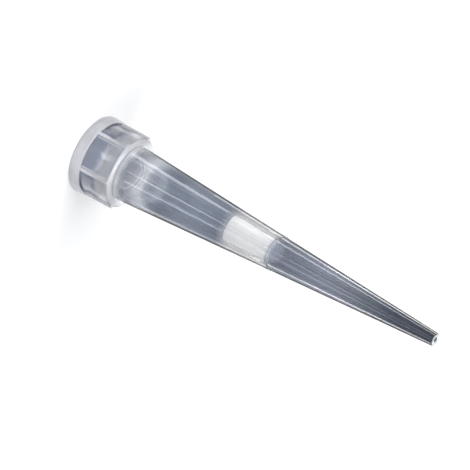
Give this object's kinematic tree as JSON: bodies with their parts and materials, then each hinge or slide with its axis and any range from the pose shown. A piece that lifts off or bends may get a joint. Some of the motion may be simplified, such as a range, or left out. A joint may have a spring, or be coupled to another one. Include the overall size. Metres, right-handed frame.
{
  "type": "filter pipette tip",
  "caption": "Slender tapered pipette tip with a ribbed collar, a socket for the pipette's cone, a white filter plug in its bore and a fine nozzle.",
  "frame": {"origin": "centre of the rim's flat face, at the mouth of the collar", "axes": "+Z along the tip's axis, from the collar to the nozzle; the tip is round about Z, and one rib of the collar points along +X"},
  "size_m": [0.0084, 0.0084, 0.0425],
  "materials": {
    "clear_polypropylene": "translucent moulded plastic with a soft gloss",
    "porous_filter": "fine-grained sintered plastic, matte white"
  },
  "bodies": {
    "root": {"tip_body": "clear_polypropylene", "filter_plug": "porous_filter"}
  },
  "joints": []
}
